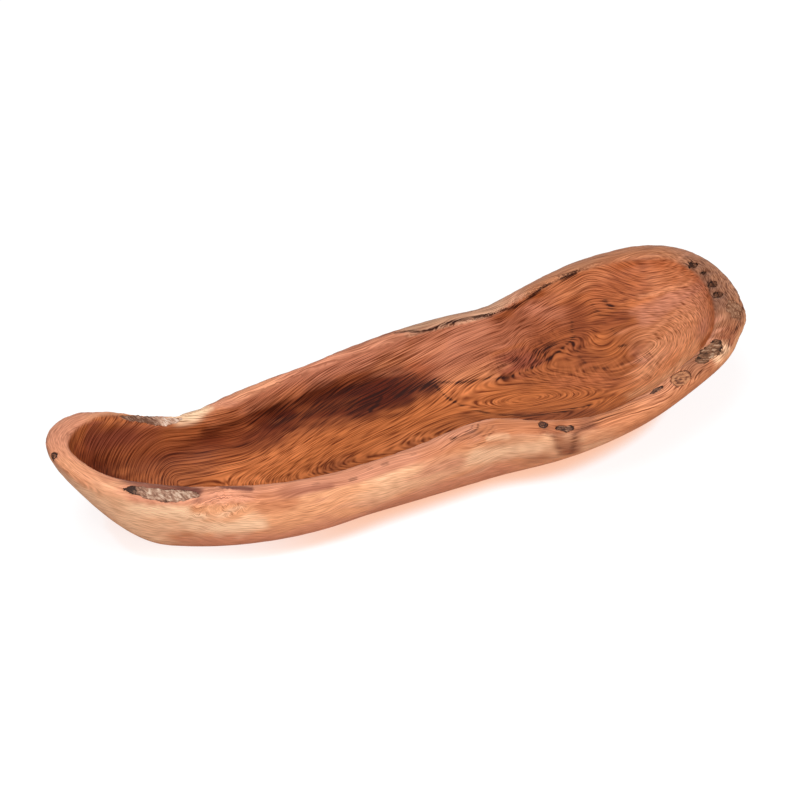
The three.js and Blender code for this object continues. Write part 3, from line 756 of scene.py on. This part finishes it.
outsideTints = edgeTints + [
    # the prow's outside: paler wood, with painted light where it faces down and away
    ("ivory", 1.0, 9, [(-267, -21, 59), (-250, -34, 44), (-240, -35, 31), (-225, -40, 22)]),
    ("ivory", 1.2, 5, [(-238, -44, 53), (-222, -49, 48), (-209, -54, 45)]),
    ("copper", 0.5, 4, [(-259, -35, 65), (-252, -38, 58), (-246, -39, 49)]),
    ("copper", 0.6, 5, [(-231, -39, 27), (-218, -42, 21), (-202, -51, 22)]),
    ("ivory", 0.8, 4, [(-203, -54, 32), (-180, -64, 30), (-157, -71, 32)]),
    ("ivory", 0.5, 6, [(10, -76, 42), (23, -74, 37), (54, -86, 42)]),
    ("blush", 0.9, 5, [(-30, -78, 44), (-4, -76, 42)]),
    ("copper", 0.7, 5, [(6, -74, 55), (29, -77, 54), (54, -84, 54)]),
    ("cream", 1.0, 10, [(-274, -16, 68), (-264, -23, 53), (-247, -33, 37)]),
    ("cream", 0.7, 9, [(-238, -39, 35), (-201, -50, 30)]),
    # darker and pinker along the bottom of the hull: painted shade where it turns down to the floor
    ("blush", 0.8, 9, [(-202, -48, 10), (-128, -74, 8), (-49, -74, 10), (35, -69, 10)]),
    ("cream", 0.35, 12, [(-61, -84, 38), (19, -84, 42), (99, -98, 44)]),
    ("chestnut", 1.4, 4, [(69, -88, 54), (71, -92, 48), (79, -89, 34)]),
    ("chestnut", 1.4, 4, [(84, -92, 54), (81, -95, 46), (84, -89, 32)]),
    ("chestnut", 0.25, 7, [(20, -84, 22), (60, -84, 26)]),
    ("copper", 1.0, 6, [(95, -98, 50), (150, -97, 52), (210, -76, 57)]),
]
rimTints = edgeTints + [
    ("bark", 1.0, 6, [(266, 46, 76), (266, 29, 76), (264, 13, 75), (260, -5, 75), (256, -14, 75)]),
    ("bark", 0.8, 6, [(196, -70, 64), (205, -66, 65)]),
    ("chestnut", 0.8, 6, [(240, -50, 67), (256, -39, 69)]),
    ("peach", 1.6, 9, [(-278, -13, 79), (-270, -24, 70), (-259, -34, 61)]),
    ("peach", 1.4, 6, [(-237, 38, 76), (-225, 40, 72), (-212, 45, 66)]),
    ("rose", 0.6, 6, [(-130, 46, 61), (-112, 48, 60)]),
    ("copper", 1.0, 9, [(220, 82, 68), (236, 76, 69), (251, 69, 73)]),
    ("rosewood", 1.0, 3, [(-136, -69, 50), (-104, -74, 49)]),
    ("blush", 0.8, 14, [(-280, 0, 82), (-263, -28, 68), (-236, -38, 62)]),
    ("blush", 0.8, 10, [(-276, 12, 84), (-262, 36, 84), (-235, 42, 76)]),
    ("rose", 1.0, 9, [(-121, 48, 61), (-38, 61, 64)]),
    ("mauve", 0.8, 9, [(-20, 61, 64), (45, 60, 65)]),
    ("peach", 0.8, 6, [(-125, 46, 61), (-102, 49, 61)]),
    ("copper", 1.0, 5, [(20, -72, 60), (29, -74, 59), (38, -76, 58)]),
    ("cream", 0.7, 5, [(222, -67, 63), (232, -61, 65)]),
    ("blush", 0.8, 9, [(-132, -66, 52), (-87, -68, 53), (-32, -70, 56), (-14, -66, 58)]),
    ("copper", 0.8, 12, [(72, -92, 55), (139, -92, 60), (204, -72, 63)]),
    ("sienna", 0.7, 4, [(58, -86, 56), (72, -90, 56)]),
    ("apricot", 0.9, 5, [(139, -92, 58), (153, -92, 57), (169, -88, 58)]),
    ("blush", 0.9, 5, [(145, -83, 61), (157, -85, 61), (172, -80, 62)]),
    ("blush", 0.9, 6, [(-20, 59, 64), (0, 61, 65), (14, 62, 66)]),
    ("copper", 1.0, 5, [(139, 75, 67), (149, 77, 67), (160, 80, 67)]),
    ("tan", 0.9, 12, [(142, 76, 66), (202, 86, 71), (254, 75, 76)]),
    ("chestnut", 0.6, 5, [(206, 84, 70), (224, 82, 69), (240, 77, 71)]),
    ("tan", 0.9, 12, [(271, 40, 77), (274, 0, 75), (261, -35, 68)]),
    ("plum", 1.3, 4, [(60, -88, 54), (82, -95, 53), (95, -95, 56)]),
    ("copper", 0.8, 8, [(41, -78, 56), (55, -82, 56)]),
]


# how strokes of color blend, and how the grain follows the bowl: lengths in mm, shares 0 to 1
grain = {
    "baseWeight": 0.12,      # of the color under the strokes
    "strokeFall": 0.7,       # how fast a stroke fades across
    "ruffle": 0.25,          # unevenness of its edge
    "ruffleSize": 9,
    "ruffleLong": (0.25, 1, 1),          # it's drawn out along the bowl
    "widthStep": 10.0,       # the bowl's width is measured at these steps, and smoothed
    "widthEnds": (-285, 286),
    "widthWindow": 9,
    "widthRounds": 26,
    "halfWidth": 66,         # the hollow's lines are spread as if it were this wide all along
    "leastHalfWidth": 36,
    "heartReach": 90,        # turns the angle round the heart line into mm
    "heartRounding": 12,
    "wander": 0.5,           # slow unevenness of the lines in the hollow, and the size of its waves
    "wanderSize": 60,
    "shellStart": 85,        # size of the shell that lies at the middle of a loop
    "hookLeft": (-200, -110),
    "hookRight": (185, 240),
    "hookRightShare": 0.85,
    # lines that are lost along the hollow: how much of them, from where, to where
    "lostLines": [(38, -205, -25), (20, -40, 90)],
    "rimWander": 2.0,        # the same on the rim and outside
    "hullWander": 1.5,
    "hullWanderSize": 50,
    "hullShort": 2.5,        # the lines outside are this much shorter
    "hullLean": 0.15,
    "keelRise": 46,          # outside, the lines rise to the ends like the keel
    "keelFrom": 150,
    "keelRun": 130,
    "keelPower": 1.7,
    "slowShare": 0.12,       # of the third direction, in which the grain changes little
    "barkRun": (-5, 25, 195, 225),       # where the rear strip of bark starts and ends
    "barkThins": (90, 150),
    "barkLost": 0.5,
    # dark lines on the rim's two shoulders: how far from the edge, how wide, how strong, where
    "edgeInset": 1.0,
    "shoulderReach": 3.0,
    "crestReach": 1.8,
    "shoulderDark": 0.2,
    "crestDark": 0.45,
    "shoulderFall": (2.5, 6),
    "rearRun": (0, 10),
    "crestRun": (180, 230),
    "leastRings": 0.15,      # how strong the rings are away from their strokes
    # the fibres' contrast: lost on the floor of the scoop, then on the outside, rim, rough rim and burl
    "calmFloor": 0.32,
    "calmRun": (30, 200),
    "calmAcross": (15, 45),
    "outerFibres": 0.38,
    "rimFibres": 0.06,
    "roughFibres": 0.55,
    "burlFibres": 0.5,
}


def tinted(co, base, strokes):
    # linear color at each point: strokes laid over the base color, soft at their edges
    color = np.tile(np.array(linear(palette[base])[:3]), (len(co), 1))
    ruffle = 1 + grain["ruffle"] * waves(co * grain["ruffleLong"], grain["ruffleSize"], seed=31)
    weight = np.full(len(co), grain["baseWeight"])
    total = color * weight[:, None]
    for tint, amount, reach, path in strokes:
        share = amount * np.exp(-(along(co, path) * ruffle / reach) ** 2 * grain["strokeFall"])
        total += np.array(linear(palette[tint])[:3]) * share[:, None]
        weight += share
    return total / weight[:, None]


co = points(bowl.data) * 1000
zone = zones(co, points(bowl.data, "normal"), lines)
hollow, rim, x = zone["hollow"], zone["rim"], co[:, 0]
bins = np.arange(*grain["widthEnds"], grain["widthStep"])
wide = []
for middle in bins:
    slab = co[np.abs(x - middle) < grain["widthWindow"], 1]
    wide.append([slab.min(), slab.max()])
wide = np.array(wide)
for _ in range(grain["widthRounds"]):
    wide = np.concatenate([wide[:1], (wide[:-2] + 2 * wide[1:-1] + wide[2:]) / 4, wide[-1:]])
middleY = np.interp(x, bins, wide.mean(1))
halfWidth = np.interp(x, bins, (wide[:, 1] - wide[:, 0]) / 2)
keelShare = np.clip(np.abs(x) - grain["keelFrom"], 0, None) / grain["keelRun"]
keel = grain["keelRise"] * keelShare ** grain["keelPower"]
swirl, burl = figure["swirl"], figure["burl"]
inSwirl = np.exp(-(((x - swirl["place"][0]) / swirl["reach"]) ** 2
                   + ((co[:, 1] - swirl["place"][1]) / (swirl["squash"] * swirl["reach"])) ** 2)) * hollow
inBurl = np.exp(-(((co - carving["burlPlace"]) / burl["reach"]) ** 2).sum(1)) * (1 - hollow)
slowShift = np.stack([waves(co, swirl["size"], seed=11 + k) for k in range(3)], 1) * swirl["shift"]
smallShift = np.stack([waves(co, burl["size"], seed=15 + k) for k in range(3)], 1) * burl["shift"]
warp = slowShift * inSwirl[:, None] + smallShift * inBurl[:, None]
bent = co + warp
sideways = (bent[:, 1] - middleY) / np.clip(halfWidth, grain["leastHalfWidth"], None) * grain["halfWidth"]
rear = span(co[:, 1] - middleY, *grain["rearRun"])
onShoulder = np.exp(-((zone["inward"] + grain["edgeInset"]) / grain["shoulderReach"]) ** 2)
onShoulder *= 1 - span(zone["down"], *grain["shoulderFall"])
onCrest = np.exp(-((zone["outward"] - grain["edgeInset"]) / grain["crestReach"]) ** 2)
onCrest *= np.maximum(rear, span(x, *grain["crestRun"]))
strip = span(x, *grain["barkRun"][:2]) * (1 - span(x, *grain["barkRun"][2:]))
rough = np.clip(paint(co, figure["rough"]), 0, 1)
tint = (tinted(co, "russet", hollowTints + edgeTints) * hollow[:, None]
        + tinted(co, "blush", rimTints) * rim[:, None]
        + tinted(co, "peach", outsideTints) * (1 - hollow - rim)[:, None])
# lines of the hollow: they run lengthwise, hook round the prow's end, and close into loops over the swells
heart = np.array(figure["heart"], dtype=float)
heartY, heartZ = (np.interp(x, heart[:, 0], heart[:, k]) for k in (1, 2))
around = np.arctan2(sideways - heartY, heartZ - bent[:, 2]) * grain["heartReach"]
shells = along(np.stack([bent[:, 0], sideways, bent[:, 2]], 1), heart)
hollowLine = np.sqrt(around ** 2 + grain["heartRounding"] ** 2) - grain["heartRounding"]
hollowLine += grain["wander"] * waves(co, grain["wanderSize"], seed=5)
for (alongPlace, acrossPlace), aim, halfLong, halfWide, rise, looped in figure["swells"]:
    aim = math.radians(aim)
    flat = bent[:, :2] - (alongPlace, acrossPlace)
    swell = np.exp(-(flat @ (math.cos(aim), math.sin(aim)) / halfLong) ** 2
                   - (flat @ (-math.sin(aim), math.cos(aim)) / halfWide) ** 2)
    hollowLine += swell * (rise * swell + looped * (shells - grain["shellStart"] - hollowLine))
hook = 1 - span(x, *grain["hookLeft"]) + grain["hookRightShare"] * span(x, *grain["hookRight"])
hollowLine += hook * (along(bent, figure["floorLine"]) - hollowLine)
hollowLine -= sum(lost * span(x, start, end) for lost, start, end in grain["lostLines"])
offFloor = span(sideways, *grain["calmAcross"])
hollowFibres = 1 - grain["calmFloor"] * span(x, *grain["calmRun"]) * (1 - offFloor)
outerFibres = (grain["outerFibres"] + grain["rimFibres"] * rim + grain["roughFibres"] * rough * rim
               + grain["burlFibres"] * inBurl)
leastRings, ringed = grain["leastRings"], np.clip(paint(co, figure["rings"]), 0, 1)
fields = {
    "hollowShare": hollow,
    "rimShare": rim,
    "fibreShare": hollow * hollowFibres + (1 - hollow) * outerFibres,
    "ringShare": (leastRings + (1 - leastRings) * ringed) * hollow,
    "curlShare": paint(co, figure["curl"]) * hollow,
    # dark lines and marks of the wood, with painted shade in the hump's creases and, partly, along the foot
    # of the rear wall
    "darkShare": np.maximum.reduce([
        paint(co, figure["dark"]) * hollow, paint(co, figure["marks"] + figure["folds"]),
        grain["shoulderDark"] * onShoulder * rear * strip, grain["crestDark"] * onCrest * (1 - hollow)]),
    "barkShare": rim * rear * strip * (1 - grain["barkLost"] * span(x, *grain["barkThins"])),
}
# where each zone's grain runs: along it, then across it in the two fast directions
slow = co[:, 1] * grain["slowShare"]
rimLine = zone["inward"] + grain["rimWander"] * waves(co, grain["wanderSize"], seed=6)
hullLine = bent[:, 2] - keel + grain["hullLean"] * bent[:, 1]
hullLine += grain["hullWander"] * waves(co, grain["hullWanderSize"], seed=7)
ways = {
    "hollowWay": np.stack([bent[:, 0], hollowLine, slow], 1),
    "rimWay": np.stack([bent[:, 0], rimLine, slow], 1),
    "hullWay": np.stack([bent[:, 0] * grain["hullShort"], hullLine, slow], 1),
}
for name, values in {**fields, **ways, "tint": tint}.items():
    setField(bowl, name, values)
print("figure laid on the wood")


# teak root, carved, sanded and oiled: a satin sheen without mirror lights, streaks and fibres that follow
# the form, open pores in lengthwise dashes, and dark rings where the cut crosses the growth

woodLook = {
    "pale": (1.48, 1.58, 1.68, 1.0),     # what the lightest fibres make of the local color
    "deep": (0.44, 0.31, 0.24, 1.0),     # and the darkest
    # color of the dark lines and of the painted shade laid with them
    "darkBand": "#2C0A03",
    "barkLight": "#E0B08E",
    "barkDark": "#8E5A40",
    # mm across the grain, how much longer than wide, detail and roughness of the noise, contrast
    "streaks": (5.0, 42.0, 1.0, 0.6, 0.5),
    # real fibres are 0.02 mm wide and real pores 0.2 mm, too fine to show, so both are drawn coarser
    "fibres": (0.85, 70.0, 1.0, 0.9, 1.2),
    "pores": (0.6, 36.0, 0.0, 0.5, 1.9),
    "baseTone": 0.45,
    "ringSpacing": 2.3,                  # mm between growth rings
    "ringStray": 2.0,                    # mm that the streaks push a ring aside
    "ringTones": [(0.0, 0.7), (0.14, 0.0), (0.55, 0.2), (0.84, 0.6), (0.95, 1.0)],
    "ringMiddle": 0.35,
    "ringContrast": 0.95,
    "curlScale": (0.38, 0.1, 0.1),       # a curl takes 2.6 mm along the grain and 10 mm across
    "curlDetail": 2.0,
    "curlStray": 0.8,
    "curlContrast": 1.0,
    "barkFray": 0.8,                     # how far the streaks break the bark's edge, and where it's cut
    "barkCut": (0.9, 1.5),
    "darkFray": 0.9,
    "darkCut": (0.6, 1.5),
    "bumpStrength": 0.6,
    "bumpDepth": 0.0003,                 # metres
    "roughness": 0.42,
    "specular": 0.12,
}

wood, tree = newMaterial("oiledTeakRoot")
tintPaint = addNode(tree, "Attribute", {"attribute_name": "tint"})
share = {name: addNode(tree, "Attribute", {"attribute_name": name}).outputs["Fac"] for name in fields}
way = {name: addNode(tree, "Attribute", {"attribute_name": name}).outputs["Vector"] for name in ways}

# tone 0 is the lightest fibre and 1 the darkest: each layer is noise drawn out along the grain of each zone
tone = 0.0
layers = {}
for layer in ("streaks", "fibres", "pores"):
    size, stretch, detail, roughness, contrast = woodLook[layer]
    perMm = (1 / size / stretch, 1 / size, 1 / size)
    found = {}
    for name in ways:
        scaled = addNode(tree, "Mapping", None, {"Vector": way[name], "Scale": perMm})
        found[name] = addNode(tree, "TexNoise", None,
                              {"Vector": scaled, "Scale": 1.0, "Detail": detail, "Roughness": roughness})
    outer = addNode(tree, "Mix", None, {0: share["rimShare"], 2: found["hullWay"], 3: found["rimWay"]})
    layers[layer] = addNode(tree, "Mix", None, {0: share["hollowShare"], 2: outer, 3: found["hollowWay"]})
    centered = addNode(tree, "Math", subtract, {0: layers[layer], 1: 0.5})
    tone = addNode(tree, "Math", multiplyAdd, {0: centered, 1: contrast, 2: tone})
tone = addNode(tree, "Math", multiplyAdd, {0: tone, 1: share["fibreShare"], 2: woodLook["baseTone"]})
# growth rings, a slow rise in tone and a thin dark line at each ring's end, and curls across the fibres
line = addNode(tree, "SeparateXYZ", None, {"Vector": way["hollowWay"]}).outputs["Y"]
strayed = addNode(tree, "Math", multiplyAdd, {0: layers["streaks"], 1: woodLook["ringStray"], 2: line})
ringCount = addNode(tree, "Math", {"operation": "DIVIDE"}, {0: strayed, 1: woodLook["ringSpacing"]})
ringPlace = addNode(tree, "Math", {"operation": "FRACT"}, {0: ringCount})
ringTone = addNode(tree, "ValToRGB", None, {"Fac": ringPlace}, woodLook["ringTones"])
curlWay = addNode(tree, "Mapping", None, {"Vector": way["hollowWay"], "Scale": woodLook["curlScale"]})
curl = addNode(tree, "TexNoise", None, {"Vector": curlWay, "Scale": 1.0, "Detail": woodLook["curlDetail"],
                                        "Distortion": woodLook["curlStray"]})
for pattern, middle, where, contrast in (
        (ringTone, woodLook["ringMiddle"], share["ringShare"], woodLook["ringContrast"]),
        (curl, 0.5, share["curlShare"], woodLook["curlContrast"])):
    centered = addNode(tree, "Math", subtract, {0: pattern, 1: middle})
    placed = addNode(tree, "Math", {"operation": "MULTIPLY"}, {0: centered, 1: where})
    tone = addNode(tree, "Math", multiplyAdd, {0: placed, 1: contrast, 2: tone})
tone.use_clamp = True
shade = addNode(tree, "Mix", colorMix, {0: tone, 6: woodLook["pale"], 7: woodLook["deep"]})
surface = addNode(tree, "Mix", {**colorMix, "blend_type": "MULTIPLY"},
                  {0: 1.0, 6: tintPaint.outputs["Color"], 7: shade.outputs[2]})
# the strip of bark and then the dark lines and painted shade lie over the fibres, with edges that the grain
# frays
barkColor = addNode(tree, "Mix", colorMix,
                    {0: tone, 6: linear(woodLook["barkLight"]), 7: linear(woodLook["barkDark"])}).outputs[2]
for grainTone, fray, where, (cutStart, cutEnd), color in (
        (layers["streaks"], woodLook["barkFray"], share["barkShare"], woodLook["barkCut"], barkColor),
        (tone, woodLook["darkFray"], share["darkShare"], woodLook["darkCut"], linear(woodLook["darkBand"]))):
    frayed = addNode(tree, "Math", multiplyAdd, {0: grainTone, 1: fray, 2: where})
    cut = addNode(tree, "MapRange", smoothStep, {"Value": frayed, "From Min": cutStart, "From Max": cutEnd})
    surface = addNode(tree, "Mix", colorMix, {0: cut, 6: surface.outputs[2], 7: color})
bump = addNode(tree, "Bump", None, {"Strength": woodLook["bumpStrength"], "Distance": woodLook["bumpDepth"],
                                    "Height": layers["fibres"]})
shader = addNode(tree, "BsdfPrincipled", None,
                 {"Base Color": surface.outputs[2], "Roughness": woodLook["roughness"],
                  "Specular IOR Level": woodLook["specular"], "Normal": bump})
addNode(tree, "OutputMaterial", None, {"Surface": shader})
bowl.data.materials.clear()
bowl.data.materials.append(wood)
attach(bowl, "root")
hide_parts("bowl_body")
print("wood dressed")


# bark, knots and filler

# common name, light, mid and dark color, then mm across the pattern, its stretch and its turn in degrees,
# rings, painted shade along the outline, how dark the left end is and where that starts, roughness, and
# relief in mm
inclusionLooks = {
    # end grain of a dead branch, cut and sanded: dull dark wood with soft rings
    "knot": ("endGrainOfDeadKnot", "#A87252", "#5A3424", "#24120C",
             1.8, 1.0, 0, 2, 0.2, 0.0, 0.0, 0.5, 0.3),
    # a knot that grew in, sanded and oiled with the rim: near the wood in tone, with faint rings
    "healed_knot": ("healedKnotSanded", "#DA9E72", "#BC7C56", "#6A3E2A",
                    2.0, 3.5, 25, 2, 0.15, 0.0, 0.0, 0.5, 0.2),
    # old bark, brushed clean and left dry: matt, greyed and lumpy, darker to the left
    "weathered_bark": ("weatheredBark", "#DDBFA6", "#A07660", "#3A2822",
                       2.4, 2.2, 40, 0, 0.2, 0.7, -0.35, 0.8, 0.4),
    # the same bleached by weather: matt and nearly white at its right end
    "pale_bark": ("paleWeatheredBark", "#F8E6D6", "#CDA188", "#6E4836",
                  1.8, 4.0, 50, 0, 0.1, 0.5, 0.5, 0.8, 0.4),
    # thick bark, split by drying: matt pale ridges between dark cracks
    "dark_bark": ("crackedBark", "#D8B496", "#8C6046", "#22140E",
                  1.5, 5.0, 35, 0, 0.3, 0.15, 1.7, 0.85, 0.6),
    # inner bark, torn off: matt brown strands
    "fibrous_bark": ("fibrousBark", "#B98C6E", "#84543A", "#3A2016",
                     1.4, 5.0, -35, 0, 0.1, 0.0, 0.0, 0.8, 0.5),
    # bark rotted in a pit and scraped out: crumbly and matt, with painted shade towards its outline
    "crater_bark": ("rottedBarkInPit", "#C8A080", "#70442F", "#1E100A",
                    1.6, 1.8, 20, 0, 0.5, 0.3, 1.7, 0.85, 0.6),
    # sanding dust stirred into resin and pressed into a crack: dark, dull and even
    "crack_filler": ("woodDustInResin", "#A87A60", "#4A2A1E", "#180D09",
                     1.6, 2.5, 0, 0, 0.4, 0.0, 0.0, 0.6, 0.3),
}

# the same on every inclusion
inclusionFinish = {
    "detail": 3.0,
    "noiseRoughness": 0.65,
    "distortion": 0.6,
    "contrast": 2.0,
    "baseTone": -0.5,
    "ringDepth": -0.9,
    # where the painted shade along each piece's outline starts
    "outlineShadeStart": 0.75,    # share of the way out at which the dark outline starts
    "leanRun": 0.6,          # share of the half length in which the dark end fades
    "midAt": 0.4,
    "lightAt": 0.8,
    "bumpStrength": 0.8,
    "specular": 0.2,
}

finish = inclusionFinish
for slot, look in inclusionLooks.items():
    name, light, mid, dark, size, stretch, turned, rings, outline, lean, leanStart, roughness, depth = look
    material, tree = newMaterial(name)
    place = addNode(tree, "Attribute", {"attribute_name": "piecePlace"}).outputs["Vector"]
    outwards = addNode(tree, "Attribute", {"attribute_name": "outwards"}).outputs["Fac"]
    endwise = addNode(tree, "Attribute", {"attribute_name": "endwise"}).outputs["Fac"]
    turning = addNode(tree, "Mapping", None, {"Vector": place, "Rotation": (0, 0, math.radians(turned))})
    perMm = (1 / size / stretch, 1 / size, 1 / size)
    way = addNode(tree, "Mapping", None, {"Vector": turning, "Scale": perMm})
    lumps = addNode(tree, "TexNoise", None,
                    {"Vector": way, "Scale": 1.0, "Detail": finish["detail"],
                     "Roughness": finish["noiseRoughness"], "Distortion": finish["distortion"]})
    wobble = addNode(tree, "Math", multiplyAdd, {0: outwards, 1: float(rings), 2: lumps})
    ring = addNode(tree, "Math", {"operation": "PINGPONG"}, {0: wobble, 1: 0.5})
    leaning = addNode(tree, "MapRange", smoothStep,
                      {"Value": endwise, "From Min": leanStart - finish["leanRun"], "From Max": leanStart,
                       "To Min": -lean, "To Max": 0.0})
    # painted shade in the crevice round each piece, darker towards its outline
    outlineShade = addNode(tree, "MapRange", smoothStep,
                     {"Value": outwards, "From Min": finish["outlineShadeStart"], "From Max": 1.0,
                      "To Max": -outline})
    tone = finish["baseTone"]
    for pattern, amount in ((lumps, finish["contrast"]), (ring, finish["ringDepth"] if rings else 0.0),
                            (leaning, 1.0), (outlineShade, 1.0)):
        tone = addNode(tree, "Math", multiplyAdd, {0: pattern, 1: amount, 2: tone})
    tone.use_clamp = True
    color = addNode(tree, "ValToRGB", None, {"Fac": tone},
                    [(0.0, dark), (finish["midAt"], mid), (finish["lightAt"], light)])
    bump = addNode(tree, "Bump", None,
                   {"Strength": finish["bumpStrength"], "Distance": depth / 1000, "Height": lumps})
    shader = addNode(tree, "BsdfPrincipled", None,
                     {"Base Color": color, "Roughness": roughness,
                      "Specular IOR Level": finish["specular"], "Normal": bump})
    addNode(tree, "OutputMaterial", None, {"Surface": shader})
    for nodeName in slotNodes[slot]:
        piece = fillings[nodeName]
        piece.data.materials.clear()
        piece.data.materials.append(material)
        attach(piece, "root")
        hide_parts(nodeName)
print("inclusions dressed")
